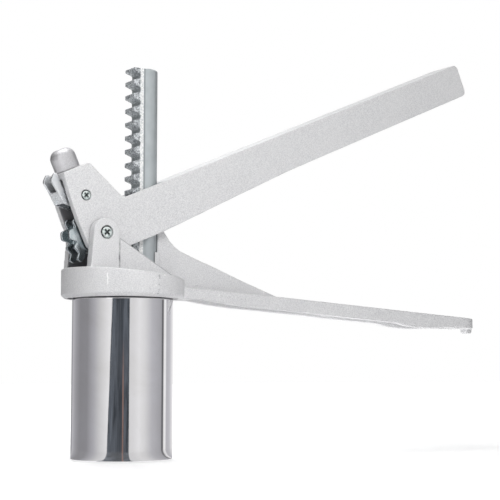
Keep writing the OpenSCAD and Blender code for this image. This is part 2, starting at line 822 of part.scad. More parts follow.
module piston_plate() {
    edge = 0.8;
    color("silver")
        translate([0, 0, piston_top_z - piston_t])
            difference() {
                rotate_extrude()
                    polygon([
                        [0, 0], [piston_r - edge, 0], [piston_r, edge], [piston_r, piston_t - edge],
                        [piston_r - edge, piston_t], [0, piston_t]
                    ]);
                translate([foot_x, 0, -over])
                    cylinder(d = foot_screw_d + 2 * pin_gap, h = piston_t + 2 * over);
                translate([foot_x, 0, -over])
                    cylinder(d = washer_d + 2 * pin_gap, h = washer_t + over);
            }
}
module piston_hub() {
    hub_x = (rack_off + rack_back_x + rack_back_r) / 2;
    color("gainsboro")
        translate([0, 0, piston_top_z])
            difference() {
                translate([hub_x, 0, 0])
                    cylinder(d = hub_d, h = hub_h);
                translate([0, 0, -over])
                    linear_extrude(hub_h + 2 * over)
                        rack_section(pin_gap, rack_off - pin_gap);
            }
}
module piston_washer() {
    color("silver")
        translate([foot_x, 0, piston_top_z - piston_t])
            difference() {
                cylinder(d = washer_d, h = washer_t);
                translate([0, 0, -over])
                    cylinder(d = foot_screw_d + 2 * pin_gap, h = washer_t + 2 * over);
            }
}
module piston_screw() {
    color("silver")
        translate([foot_x, 0, piston_top_z - piston_t])
            difference() {
                union() {
                    cylinder(d = foot_screw_d, h = piston_t + foot_screw_len - over);
                    translate([0, 0, -foot_head_h])
                        cylinder(d1 = foot_head_d * 0.8, d2 = foot_head_d, h = foot_head_h);
                }
                for (turn = [0, 90])
                    rotate([0, 0, turn])
                        translate([-foot_head_d * 0.28, -foot_head_d / 14, -foot_head_h - over])
                            cube([foot_head_d * 0.56, foot_head_d / 7, over + foot_head_h / 2]);
            }
}

module barrel_tube() {
    bore_r = barrel_d / 2 - barrel_wall;
    color("whitesmoke")
        difference() {
            union() {
                cylinder(d = barrel_d, h = barrel_len - neck_drop);
                cylinder(d = barrel_d - 2 * neck_step, h = barrel_len + barrel_grip);
            }
            translate([0, 0, barrel_wall])
                cylinder(r = bore_r, h = barrel_len + barrel_grip);
            translate([0, 0, -over])
                cylinder(r = bore_r - mouth_lip, h = barrel_wall + 2 * over);
        }
}
module barrel_lugs() {
    color("silver")
        bayonet_arcs(
            barrel_d / 2 - neck_step, barrel_d / 2 + lug_reach, collar_z + collar_lip + slide_gap,
            lug_h, lug_arc, -lock_turn
        );
}
module die_plate() {
    die_r = barrel_d / 2 - barrel_wall - slide_gap;
    ring_step = (die_r - mouth_lip - die_hole_d / 2) / (die_rings + 0.2);
    color("silver")
        translate([0, 0, barrel_wall])
            difference() {
                cylinder(r = die_r, h = die_t);
                translate([0, 0, -over])
                    cylinder(d = die_hole_d, h = die_t + 2 * over, $fn = 24);
                for (ring = [1 : die_rings])
                    for (i = [0 : 6 * ring - 1])
                        rotate([0, 0, 60 * i / ring])
                            translate([ring * ring_step, 0, -over])
                                cylinder(d = die_hole_d, h = die_t + 2 * over, $fn = 24);
            }
}

body_casting();
main_pin();
main_pin_screws();
lever_casting();
thumb_knob();
knob_screw();
pawl_pin();
pawl_pin_screws();
drive_pawl();
drive_spring();
hold_pawl();
hold_spring();
rack_rod();
piston_hub();
piston_plate();
piston_washer();
piston_screw();
barrel_tube();
barrel_lugs();
die_plate();
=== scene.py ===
"""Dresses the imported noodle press: painted castings, plated and polished steel, a studio and a camera."""
import math

import bmesh
import bpy
from mathutils import Matrix, Vector


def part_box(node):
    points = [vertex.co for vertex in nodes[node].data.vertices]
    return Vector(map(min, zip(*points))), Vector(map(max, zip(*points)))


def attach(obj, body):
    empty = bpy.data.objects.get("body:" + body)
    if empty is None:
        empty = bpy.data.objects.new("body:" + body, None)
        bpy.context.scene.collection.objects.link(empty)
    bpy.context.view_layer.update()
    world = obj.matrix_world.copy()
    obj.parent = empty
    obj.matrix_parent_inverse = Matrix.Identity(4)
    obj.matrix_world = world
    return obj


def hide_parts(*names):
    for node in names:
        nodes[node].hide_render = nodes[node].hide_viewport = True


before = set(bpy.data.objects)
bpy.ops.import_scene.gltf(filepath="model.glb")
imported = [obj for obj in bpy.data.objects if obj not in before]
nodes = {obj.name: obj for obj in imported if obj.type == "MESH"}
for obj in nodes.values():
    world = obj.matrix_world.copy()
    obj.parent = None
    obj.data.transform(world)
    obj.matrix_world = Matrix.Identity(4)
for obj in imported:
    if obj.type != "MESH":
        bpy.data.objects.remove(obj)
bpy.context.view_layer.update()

MM = 0.001

# Camera: the photograph's place and angle, in metres and degrees, and its lens in mm
CAMERA_AT = Vector((-0.3870, -0.7417, 0.0513))
CAMERA_AZIMUTH = 32.94
CAMERA_PITCH = 5.29
CAMERA_LENS = 97.2
CAMERA_SENSOR = 36
CAMERA_CLIP = (0.05, 30)


def add_camera():
    data = bpy.data.cameras.new("camera")
    data.lens = CAMERA_LENS
    data.sensor_width = CAMERA_SENSOR
    data.sensor_fit = "HORIZONTAL"
    data.clip_start, data.clip_end = CAMERA_CLIP
    camera = bpy.data.objects.new("camera", data)
    bpy.context.scene.collection.objects.link(camera)
    turn = Matrix.Rotation(-math.radians(CAMERA_AZIMUTH), 4, "Z")
    tilt = Matrix.Rotation(math.radians(90 + CAMERA_PITCH), 4, "X")
    camera.matrix_world = Matrix.Translation(CAMERA_AT) @ turn @ tilt
    bpy.context.scene.camera = camera


# Node calls
class NodeTree:
    """Short calls for the nodes of a material or of the world. They take and give node sockets, and most of
    them also take a number or a colour of three numbers."""

    def __init__(self, tree):
        self.tree = tree

    def add(self, kind):
        """A new node, such as ShaderNodeMath for Math."""
        return self.tree.nodes.new("ShaderNode" + kind)

    def fill(self, socket, value):
        """Links another socket to this one, or sets it to a number or a colour."""
        if isinstance(value, bpy.types.NodeSocket):
            self.tree.links.new(value, socket)
        elif isinstance(value, tuple):
            socket.default_value = (*value, 1)
        else:
            socket.default_value = value

    def compute(self, operation, first, second=0.0):
        node = self.add("Math")
        node.operation = operation
        self.fill(node.inputs[0], first)
        self.fill(node.inputs[1], second)
        return node.outputs[0]

    def plus(self, first, second):
        return self.compute("ADD", first, second)

    def minus(self, first, second):
        return self.compute("SUBTRACT", first, second)

    def times(self, first, *others):
        for other in others:
            first = self.compute("MULTIPLY", first, other)
        return first

    def light(self, kind, colour, strength=1):
        """An Emission or a Background."""
        node = self.add(kind)
        self.fill(node.inputs["Color"], colour)
        self.fill(node.inputs["Strength"], strength)
        return node.outputs[0]

    def mix_shaders(self, share, first, second):
        node = self.add("MixShader")
        for socket, value in zip(node.inputs, (share, first, second)):
            self.fill(socket, value)
        return node.outputs[0]


class Finish(NodeTree):
    """The nodes of one material."""

    def __init__(self, name):
        self.material = bpy.data.materials.new(name)
        self.material.use_nodes = True
        super().__init__(self.material.node_tree)
        self.shader = self.tree.nodes["Principled BSDF"]
        self.surface = self.tree.nodes["Material Output"].inputs["Surface"]
        self.coords = self.add("TexCoord").outputs["Object"]

    def apart(self, vector):
        """A vector's X, Y and Z."""
        node = self.add("SeparateXYZ")
        self.fill(node.inputs[0], vector)
        return list(node.outputs)

    def place(self):
        """Object coordinates along X, Y and Z, in metres."""
        return self.apart(self.coords)

    def facing(self):
        """The surface's direction along X, Y and Z."""
        return self.apart(self.add("NewGeometry").outputs["Normal"])

    def pointiness(self):
        """Above 0.5 on edges and below it in corners."""
        return self.add("NewGeometry").outputs["Pointiness"]

    def stretched(self, *scale):
        """Object coordinates times a scale along each axis."""
        node = self.add("Mapping")
        node.inputs["Scale"].default_value = scale
        self.fill(node.inputs["Vector"], self.coords)
        return node.outputs["Vector"]

    def noise(self, scale, detail=3, roughness=0.55, vector=None, distortion=0):
        """Noise from 0 to 1, on object coordinates or another vector."""
        node = self.add("TexNoise")
        node.inputs["Scale"].default_value = scale
        node.inputs["Detail"].default_value = detail
        node.inputs["Roughness"].default_value = roughness
        node.inputs["Distortion"].default_value = distortion
        self.fill(node.inputs["Vector"], vector or self.coords)
        return node.outputs["Fac"]

    def waver(self, noise, size):
        """A noise brought down to a size, on both sides of 0."""
        return self.times(self.minus(noise, 0.5), size)

    def cells(self, scale):
        """The distance from the middle of each of many small cells."""
        node = self.add("TexVoronoi")
        node.inputs["Scale"].default_value = scale
        self.fill(node.inputs["Vector"], self.coords)
        return node.outputs["Distance"]

    def spread(self, value, source, target=(0, 1)):
        """A value's range, mapped to another range and held there."""
        node = self.add("MapRange")
        node.clamp = True
        for socket, number in zip(("From Min", "From Max", "To Min", "To Max"), (*source, *target)):
            node.inputs[socket].default_value = number
        self.fill(node.inputs["Value"], value)
        return node.outputs["Result"]

    def within(self, value, bounds, edge):
        """1 where a value lies between two bounds, 0 elsewhere, with soft edges."""
        low, high = bounds
        above = self.spread(value, (low - edge, low + edge))
        below = self.spread(value, (high - edge, high + edge), (1, 0))
        return self.times(above, below)

    def length(self, first, second):
        """The length of a flat vector."""
        return self.compute("SQRT", self.plus(self.times(first, first), self.times(second, second)))

    def turns(self, up, along):
        """The direction of a flat vector in turns, from 0 to 1, with 0.5 straight along."""
        return self.plus(self.compute("DIVIDE", self.compute("ARCTAN2", up, along), 2 * math.pi), 0.5)

    def mix(self, share, first, second, most=1):
        """A mix of two colours, by the second one's share times the most that there is of it."""
        if most != 1:
            share = self.times(share, most)
        node = self.add("Mix")
        node.data_type = "RGBA"
        self.fill(node.inputs[0], share)
        colours = [socket for socket in node.inputs if socket.type == "RGBA"]
        for socket, value in zip(colours, (first, second)):
            self.fill(socket, value)
        return next(socket for socket in node.outputs if socket.type == "RGBA")

    def ramp(self, value, stops):
        """A colour that follows a table of (value, colour) stops."""
        node = self.add("ValToRGB")
        self.fill(node.inputs["Fac"], value)
        elements = node.color_ramp.elements
        while len(elements) > 1:
            elements.remove(elements[-1])
        elements[0].position = stops[0][0]
        elements[0].color = (*stops[0][1], 1)
        for position, colour in stops[1:]:
            elements.new(position).color = (*colour, 1)
        return node.outputs["Color"]

    def bump(self, *layers):
        """Height layers on top of each other, each a socket and its depth in mm."""
        normal = None
        for height, depth in layers:
            node = self.add("Bump")
            node.inputs["Strength"].default_value = 1
            node.inputs["Distance"].default_value = depth * MM
            self.fill(node.inputs["Height"], height)
            if normal:
                self.fill(node.inputs["Normal"], normal)
            normal = node.outputs["Normal"]
        self.fill(self.shader.inputs["Normal"], normal)

    def set(self, **values):
        """Fills the shader's sockets, named with _ for each space, and gives the material."""
        for name, value in values.items():
            self.fill(self.shader.inputs[name.replace("_", " ")], value)
        return self.material

    def glow(self, colour):
        """Turns the material into plain light of a colour, and gives it."""
        self.fill(self.surface, self.light("Emission", colour))
        return self.material


# Colours of the materials. A pair runs from a surface's dark grains to its light ones
PAINT_TONES = ((0.58, 0.58, 0.595), (0.82, 0.82, 0.825))
PAINT_CLOUD = (0.77, 0.767, 0.77)
PAINT_WORN = (0.84, 0.84, 0.84)
# Painted shade for the paint's inner corners and for the inner faces of the lever's head and the ears
PAINT_CORNER_SHADE = (0.36, 0.36, 0.38)
PAINT_INSIDE_SHADE = (0.15, 0.15, 0.16)
# Dirt and painted shade in the ear's corner, and painted shade in a line along the ear's face
CORNER_DIRT_AND_SHADE = (0.10, 0.10, 0.11)
EAR_SHADE_LINE_COLOUR = (0.12, 0.12, 0.13)
# Painted shade along the brace's sloping upper edge
BRACE_SHADE = (0.25, 0.25, 0.27)
SCRATCH_BRIGHT = (1.0, 1.0, 1.0)
SPECK_DARK = (0.22, 0.22, 0.24)
CHIP_DARK = (0.30, 0.30, 0.33)
SCUFF_BRIGHT = (0.95, 0.95, 0.95)
KNOB_TONES = ((0.48, 0.475, 0.49), (0.62, 0.615, 0.63))
KNOB_CLOUD = (0.62, 0.61, 0.63)
MIRROR_CLEAN = (0.83, 0.83, 0.84)
MIRROR_SMUDGED = (0.76, 0.755, 0.75)
ZINC_WORN = (0.88, 0.90, 0.92)
RACK_BACK_TONES = ((0.43, 0.465, 0.48), (0.50, 0.535, 0.55))
RACK_TEETH_TONES = ((0.20, 0.215, 0.23), (0.66, 0.69, 0.71))
RACK_BLOB = (0.80, 0.82, 0.84)
# A painted highlight and a line of painted shade along the rack's flat sides
RACK_STRIP_HIGHLIGHT = (0.97, 0.97, 0.96)
RACK_SHADE_LINE = (0.24, 0.26, 0.27)
SCREW_TONES = ((0.42, 0.50, 0.49), (0.86, 0.91, 0.89))
# Painted shade on the screws' heads: a ring at the rim and a cross in the recess
SCREW_RIM_SHADE = (0.02, 0.022, 0.025)
SCREW_CROSS_SHADE = (0.03, 0.034, 0.036)
PIN_TONES = ((0.52, 0.52, 0.53), (0.66, 0.66, 0.67))
WHITE = (1, 1, 1)

# Kinds of zinc plate: colours, roughness, the scale of its crystals and the depth of its dents in mm
ZINC = {
    "drive_zinc": {
        "tones": ((0.60, 0.63, 0.66), (0.78, 0.79, 0.80)), "rough": (0.22, 0.34), "crystals": 1100,
        "dents": 0.04, "metallic": 0.9,
    },
    "hold_zinc": {
        "tones": ((0.32, 0.38, 0.40), (0.66, 0.71, 0.73)), "rough": (0.16, 0.28), "crystals": 1100,
        "dents": 0.06, "metallic": 0.95,
    },
    "screw_zinc": {
        "tones": ((0.36, 0.40, 0.39), (0.56, 0.60, 0.58)), "rough": (0.18, 0.32), "crystals": 1500,
        "dents": 0.02, "metallic": 1.0,
    },
    "spring_wire": {
        "tones": ((0.60, 0.62, 0.66), (0.78, 0.80, 0.84)), "rough": (0.14, 0.24), "crystals": 2500,
        "dents": 0.01, "metallic": 1.0,
    },
}

# Places of the body's marks, in metres
EAR_X = -0.0112
EAR_FACE_Y = (-0.0208, -0.0185)
CORNER_X = (EAR_X - 0.0016, EAR_X + 0.0003)
CORNER_Z = (0.1155, 0.1335)
EAR_SHADE_LINE_X = (EAR_X - 0.0020, EAR_X - 0.0015)
EAR_SHADE_LINE_Z = (0.1160, 0.1330)
EAR_SHADE_LINE_MIDDLE_Z = (0.1205, 0.1235)
BRACE_FACE_Y = (-0.0181, -0.0155)
BRACE_X = (EAR_X, 0.026)
BRACE_SLOPE = 0.58
BRACE_TOP = 0.1269
COLLAR_FRONT_Y = -0.026
COLLAR_FRONT_Z = (0.0990, 0.1135)
SCRATCH_X = (-0.0254, -0.0249)
SCRATCH_Z = (0.1046, 0.1115)
SPECKS_X = (0.0036, 0.0052)
COLLAR_TOP_Z = (0.1160, 0.1165)
COLLAR_FOOT_Z = (0.0985, 0.0990)

# Places on the rack, in metres: the teeth's roots, its flat sides, and the painted highlight and painted
# shade along them
TEETH_X = (0.0078, 0.0084)
FLAT_Y = (0.0056, 0.0059)
HIGHLIGHT_STRIP_X = (0.0079, 0.0105)
SHADE_LINE_X = (0.0105, 0.0114)
SHADE_LINE_FROM_Z = (0.142, 0.144)

# Heads of the screws in mm: their centre's X and Z, and their radius
MAIN_SCREW = ((-21, 136.7), 3.7)
PAWL_SCREW = ((-31.6, 159.1), 3.05)


# Materials
def ear_shade_and_dirt(n, base):
    """Dirt and painted shade in the corner beside the ear, and a broken line of painted shade on the ear's
    face, darkest near its middle.
    """
    x, y, z = n.place()
    # Dirt and painted shade in the corner where the brace meets the ear
    corner = n.times(
        n.within(x, CORNER_X, edge=0.0001),
        n.within(y, BRACE_FACE_Y, edge=0.0002),
        n.within(z, CORNER_Z, edge=0.002),
        n.spread(n.noise(420, detail=2), (0.3, 0.6), (0.35, 0.9)),
    )
    base = n.mix(corner, base, CORNER_DIRT_AND_SHADE)
    middle = n.times(n.within(z, EAR_SHADE_LINE_MIDDLE_Z, edge=0.0005), 0.5)
    broken = n.spread(n.noise(500, detail=2), (0.4, 0.6), (0.1, 0.45))
    # A broken line of painted shade along the ear's face
    ear_shade_line = n.times(
        n.within(x, EAR_SHADE_LINE_X, edge=0.0001),
        n.within(y, EAR_FACE_Y, edge=0.0002),
        n.within(z, EAR_SHADE_LINE_Z, edge=0.001),
        n.plus(broken, middle),
    )
    return n.mix(ear_shade_line, base, EAR_SHADE_LINE_COLOUR)


def brace_shade_line(n, base):
    """A thin line of painted shade along the sloping upper edge of the brace."""
    x, y, z = n.place()
    rise = n.plus(n.times(x, BRACE_SLOPE), z)
    line = n.times(
        n.spread(rise, (BRACE_TOP - 0.0003, BRACE_TOP + 0.0002), (0, 0.5)),
        n.spread(rise, (BRACE_TOP + 0.0020, BRACE_TOP + 0.0025), (1, 0)),
        n.within(y, BRACE_FACE_Y, edge=0.0002),
        n.within(x, BRACE_X, edge=0.001),
    )
    return n.mix(line, base, BRACE_SHADE)


def collar_marks(n, base):
    """On the collar's near side, a bright crooked scratch at the left and dark specks at the right."""
    x, y, z = n.place()
    near = n.times(
        n.spread(y, (COLLAR_FRONT_Y - 0.0002, COLLAR_FRONT_Y + 0.0002), (1, 0)),
        n.within(z, COLLAR_FRONT_Z, edge=0.0003),
    )
    wobble = n.plus(x, n.waver(n.noise(260, detail=1), 0.0022))
    scratch = n.times(
        n.within(wobble, SCRATCH_X, edge=0.0001),
        n.within(z, SCRATCH_Z, edge=0.0005),
        near,
    )
    base = n.mix(scratch, base, SCRATCH_BRIGHT, most=0.9)
    specks = n.times(
        n.within(wobble, SPECKS_X, edge=0.0003),
        n.spread(n.noise(450, detail=3, roughness=0.7), (0.53, 0.60)),
        near,
    )
    return n.mix(specks, base, SPECK_DARK, most=0.75)


def collar_wear(n, base):
    """Small dark chips and bright scuffs all round the collar."""
    z = n.place()[2]
    collar = n.times(n.spread(z, COLLAR_TOP_Z, (1, 0)), n.spread(z, COLLAR_FOOT_Z))
    chips = n.times(
        n.spread(n.noise(300, detail=3, roughness=0.7), (0.66, 0.69)),
        n.spread(n.noise(60, detail=2), (0.5, 0.6)),
        collar,
    )
    base = n.mix(chips, base, CHIP_DARK, most=0.55)
    scuffs = n.times(
        n.spread(n.noise(520, detail=2), (0.64, 0.68)),
        n.spread(n.noise(90, detail=2), (0.52, 0.62)),
        collar,
    )
    return n.mix(scuffs, base, SCUFF_BRIGHT, most=0.7)


def silver_paint(name, marks=()):
    """Satin silver paint on a casting: fine grain, faint clouds, bright on its edges, with painted shade in
    its corners and on the inner faces of the lever's head and the body's ears. Marks are painted over it."""
    n = Finish(name)
    x, y, z = n.place()
    grain = n.noise(1800, detail=3, roughness=0.7)
    base = n.mix(n.spread(grain, (0.36, 0.64)), *PAINT_TONES)
    base = n.mix(n.spread(n.noise(28), (0.35, 0.7), (0, 0.35)), base, PAINT_CLOUD)
    base = n.mix(n.spread(n.pointiness(), (0.53, 0.62), (0, 0.4)), base, PAINT_WORN)
    # Painted shade: darker in inner corners, found by their pointiness
    base = n.mix(n.spread(n.pointiness(), (0.40, 0.48), (0.6, 0)), base, PAINT_CORNER_SHADE)
    # Painted shade on the inner faces of the lever's head and the body's ears, where little light reaches
    inside = n.times(
        n.spread(n.times(y, n.facing()[1]), (-0.004, -0.002), (1, 0)),
        n.spread(x, (0.012, 0.016), (0.85, 0)),
        n.spread(z, (0.157, 0.162), (1, 0.15)),
    )
    base = n.mix(inside, base, PAINT_INSIDE_SHADE)
    for mark in marks:
        base = mark(n, base)
    n.bump((grain, 0.05), (n.spread(n.cells(420), (0, 0.25)), 0.02), (n.noise(70, detail=2), 0.12))
    rough = n.spread(grain, (0.3, 0.7), (0.38, 0.54))
    return n.set(Base_Color=base, Metallic=0.18, Roughness=rough, Specular_IOR_Level=0.5)


def knob_metal():
    """Satin cast metal, smoother and darker than the paint."""
    n = Finish("knob_metal")
    grain = n.noise(1600, detail=3, roughness=0.6)
    base = n.mix(n.spread(grain, (0.35, 0.65)), *KNOB_TONES)
    base = n.mix(n.spread(n.noise(90, detail=2), (0.4, 0.7), (0, 0.4)), base, KNOB_CLOUD)
    n.bump((grain, 0.012), (n.noise(160, detail=2), 0.05))
    return n.set(Base_Color=base, Metallic=0.75, Roughness=n.spread(grain, (0.3, 0.7), (0.38, 0.47)))


def mirror_steel():
    """Polished stainless steel with faint upright wipe marks and smudges."""
    n = Finish("mirror_steel")
    wipes = n.noise(1, detail=4, roughness=0.6, vector=n.stretched(620, 620, 9))
    waves = n.noise(1, detail=2, roughness=0.4, vector=n.stretched(26, 26, 60))
    smudges = n.noise(34, detail=4, roughness=0.6, distortion=0.6)
    base = n.mix(n.spread(smudges, (0.4, 0.8)), MIRROR_CLEAN, MIRROR_SMUDGED)
    wiped = n.spread(wipes, (0.35, 0.75), (0.035, 0.075))
    rough = n.plus(wiped, n.spread(smudges, (0.52, 0.8), (0, 0.08)))
    n.bump((waves, 0.018), (wipes, 0.0008))
    return n.set(Base_Color=base, Metallic=1.0, Roughness=rough)


def zinc(name, tones, rough, crystals, dents, metallic):
    """Bright zinc plate: small crystals, cloudy in places, with a cold cast, worn bright on its edges."""
    n = Finish(name)
    clouds = n.noise(120, detail=4, roughness=0.6)
    base = n.mix(n.spread(clouds, (0.3, 0.7)), *tones)
    base = n.mix(n.spread(n.pointiness(), (0.52, 0.60), (0, 0.7)), base, ZINC_WORN)
    n.bump((n.spread(n.cells(crystals), (0, 0.6)), 0.012), (n.noise(330, detail=3, roughness=0.6), dents))
    return n.set(Base_Color=base, Metallic=metallic, Roughness=n.spread(clouds, (0.3, 0.7), rough))


def rack_plate():
    """Zinc on the rack: rough speckled teeth, a painted highlight as a bright strip along each flat side with
    a line of painted shade beside it, and a smooth grey back."""
    n = Finish("rack_zinc")
    x, y, z = n.place()
    speckle = n.noise(950, detail=3, roughness=0.75)
    clouds = n.noise(120, detail=4, roughness=0.6)
    teeth = n.spread(x, TEETH_X, (1, 0))
    flat = n.spread(n.compute("ABSOLUTE", y), FLAT_Y)
    back = n.mix(n.spread(clouds, (0.3, 0.7)), *RACK_BACK_TONES)
    rough = n.mix(n.spread(speckle, (0.44, 0.56)), *RACK_TEETH_TONES)
    blobs = n.times(n.spread(n.noise(300, detail=2), (0.56, 0.62)), flat)
    rough = n.mix(blobs, rough, RACK_BLOB, most=0.5)
    base = n.mix(teeth, back, rough)
    # A painted highlight: a bright, less metallic strip along each flat side
    highlight_strip = n.times(n.within(x, HIGHLIGHT_STRIP_X, edge=0.0002), flat)
    base = n.mix(n.times(highlight_strip, n.spread(speckle, (0.38, 0.58), (0.3, 1.0))), base, RACK_STRIP_HIGHLIGHT)
    # A line of painted shade beside the strip
    line = n.times(n.within(x, SHADE_LINE_X, edge=0.0003), n.spread(z, SHADE_LINE_FROM_Z))
    base = n.mix(line, base, RACK_SHADE_LINE, most=0.8)
    n.bump((n.times(speckle, teeth), 0.10), (n.noise(330, detail=3, roughness=0.6), 0.03))
    return n.set(
        Base_Color=base,
        Metallic=n.times(n.spread(highlight_strip, (0, 1), (0.85, 0.25)), n.spread(teeth, (0, 1), (1, 0.5))),
        Roughness=n.plus(n.times(teeth, 0.12), n.spread(clouds, (0.3, 0.7), (0.40, 0.50))),
    )


def screw_plate(name, centre, radius):
    """Zinc on the heads of a pin's screws: painted shade in a cross for the recess, and a ring of painted
    shade where the head meets its seat, darkest on one side. Takes the head's centre in X and Z and its
    radius, in mm."""
    n = Finish(name)
    x, _, z = n.place()
    across = n.minus(x, centre[0] * MM)
    up = n.minus(z, centre[1] * MM)
    diagonal = math.sqrt(0.5)
    u = n.compute("ABSOLUTE", n.times(n.plus(across, up), diagonal))
    v = n.compute("ABSOLUTE", n.times(n.minus(up, across), diagonal))
    slot = 0.15 * radius * MM
    edge = 0.04 * radius * MM
    # Painted shade in the cross of the recess
    cross = n.times(
        n.spread(n.compute("MINIMUM", u, v), (slot, slot + edge), (1, 0)),
        n.spread(n.compute("MAXIMUM", u, v), (3.9 * slot, 4.1 * slot), (1, 0)),
    )
    # A ring of painted shade round the head's rim, darker on one side
    rim = n.spread(n.length(across, up), ((radius - 0.50) * MM, (radius - 0.38) * MM))
    side = n.spread(n.plus(across, n.times(up, -0.6)), (-0.0012, 0.0022), (1, 0.25))
    flecks = n.noise(900, detail=3)
    base = n.mix(n.spread(flecks, (0.35, 0.65)), *SCREW_TONES)
    base = n.mix(n.times(rim, side), base, SCREW_RIM_SHADE)
    base = n.mix(cross, base, SCREW_CROSS_SHADE, most=0.92)
    n.bump((flecks, 0.03))
    return n.set(Base_Color=base, Metallic=0.85, Roughness=n.spread(flecks, (0.3, 0.7), (0.24, 0.36)))


def turned_steel():
    """Plain steel with fine rings from the lathe."""
    n = Finish("turned_steel")
    rings = n.noise(1, detail=2, roughness=0.5, vector=n.stretched(300, 2600, 300))
    base = n.mix(n.spread(rings, (0.3, 0.7)), *PIN_TONES)
    n.bump((rings, 0.006))
    return n.set(Base_Color=base, Metallic=1.0, Roughness=n.spread(rings, (0.3, 0.7), (0.22, 0.36)))


# Meshes
WELD = 1e-6
NORMAL_WEIGHT = 80
COIL_LEVELS = 2
LATHE_STEPS = 256

# How a cast, turned or pressed piece is softened: voxel in mm, smoothing passes and the share of faces kept
CASTING = {"voxel": 0.5, "passes": 6, "keep": 0.25}
KNOB = {"voxel": 0.4, "passes": 5, "keep": 0.5}
RACK = {"voxel": 0.3, "passes": 3, "keep": 0.4}
SHEET = {"voxel": 0.22, "passes": 3, "keep": 0.4}

# The barrel's wall in mm: its thickness, the rim turned in at its mouth, the mouth's outer turn and its neck
BARREL_WALL = 1.2
BARREL_LIP = 2.6
BARREL_TURN = 0.8
NECK_DEPTH = 0.4
NECK_FROM = 97.5


def new_piece(name, mesh, material):
    obj = bpy.data.objects.new(name, mesh)
    bpy.context.scene.collection.objects.link(obj)
    obj.data.materials.clear()
    obj.data.materials.append(material)
    return obj


def applied(obj):
    """The object with its modifiers applied to its mesh."""
    graph = bpy.context.evaluated_depsgraph_get()
    mesh = bpy.data.meshes.new_from_object(obj.evaluated_get(graph), depsgraph=graph)
    obj.modifiers.clear()
    old = obj.data
    obj.data = mesh
    bpy.data.meshes.remove(old)
    return obj


def smooth(obj):
    for polygon in obj.data.polygons:
        polygon.use_smooth = True
    return obj


def welded_copy(node, name, material):
    """A copy of a node's mesh with its doubled points merged."""
    mesh = nodes[node].data.copy()
    work = bmesh.new()
    work.from_mesh(mesh)
    bmesh.ops.remove_doubles(work, verts=work.verts, dist=WELD)
    work.to_mesh(mesh)
    work.free()
    return new_piece(name, mesh, material)


def softened(node, name, material, voxel, passes, keep):
    """The node's shape with every edge and inner corner rounded, as in a casting."""
    obj = welded_copy(node, name, material)
    remesh = obj.modifiers.new("remesh", "REMESH")
    remesh.mode = "VOXEL"
    remesh.voxel_size = voxel * MM
    remesh.use_smooth_shade = True
    soften = obj.modifiers.new("soften", "SMOOTH")
    soften.factor = 0.5
    soften.iterations = passes
    applied(obj)
    thin = obj.modifiers.new("thin", "DECIMATE")
    thin.ratio = keep
    smooth(applied(obj))
    obj.modifiers.new("normals", "WEIGHTED_NORMAL").weight = NORMAL_WEIGHT
    return applied(obj)


def coil_copy(node, name, material):
    """A spring's node with its wire made round."""
    coil = welded_copy(node, name, material)
    coil.modifiers.new("round", "SUBSURF").levels = COIL_LEVELS
    return smooth(applied(coil))


def lathe(name, profile, material):
    """A closed profile of (radius, height) points in mm, turned round the Z axis."""
    work = bmesh.new()
    rings = []
    for step in range(LATHE_STEPS):
        angle = 2 * math.pi * step / LATHE_STEPS
        rings.append([
            work.verts.new((radius * math.cos(angle) * MM, radius * math.sin(angle) * MM, height * MM))
            for radius, height in profile
        ])
    for step, ring in enumerate(rings):
        following = rings[(step + 1) % LATHE_STEPS]
        for i in range(len(profile)):
            j = (i + 1) % len(profile)
            work.faces.new((ring[i], following[i], following[j], ring[j]))
    bmesh.ops.remove_doubles(work, verts=work.verts, dist=WELD)
    bmesh.ops.recalc_face_normals(work, faces=work.faces)
    mesh = bpy.data.meshes.new(name)
    work.to_mesh(mesh)
    work.free()
    return smooth(new_piece(name, mesh, material))


def arc(centre, radius, start, end, count=6):
    """Points round a corner, angles in degrees."""
    points = []
    for i in range(count + 1):
        angle = math.radians(start + (end - start) * i / count)
        points.append((centre[0] + radius * math.cos(angle), centre[1] + radius * math.sin(angle)))
    return points


def barrel_profile():
    """The barrel's wall in mm: a rounded turn at its mouth, a rolled inner rim, and a neck under the collar.
    Points close to each turn keep the long walls' shading straight."""
    low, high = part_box("barrel_tube")
    outer = (high.x - low.x) / 2 / MM
    top = high.z / MM
    inner = outer - BARREL_WALL
    rim = inner - BARREL_LIP
    neck = outer - NECK_DEPTH
    near = 0.25
    far = 3 * near
    bevel_in = 0.2
    bevel_down = 2 * bevel_in
    hold = 6 * bevel_in
    return [
        (outer, BARREL_TURN + far), (outer, BARREL_TURN + near),
        *arc((outer - BARREL_TURN, BARREL_TURN), BARREL_TURN, 0, -90),
        *arc((rim + BARREL_WALL / 2, BARREL_WALL / 2), BARREL_WALL / 2, -90, -270),
        (inner - near, BARREL_WALL), (inner, BARREL_WALL + near), (inner, BARREL_WALL + far),
        (inner, top - hold), (inner, top - bevel_down), (inner + bevel_in, top),
        (neck - bevel_in, top), (neck, top - bevel_down), (neck, top - hold),
        (neck, NECK_FROM + far), (neck, NECK_FROM + near / 2),
        (outer - near / 2, NECK_FROM), (outer, NECK_FROM - near), (outer, NECK_FROM - far),
    ]


# Studio: the world's own light on the object, which the camera and reflections don't see
WORLD_COLOUR = (0.96, 0.97, 1)
WORLD_STRENGTH = 0.11

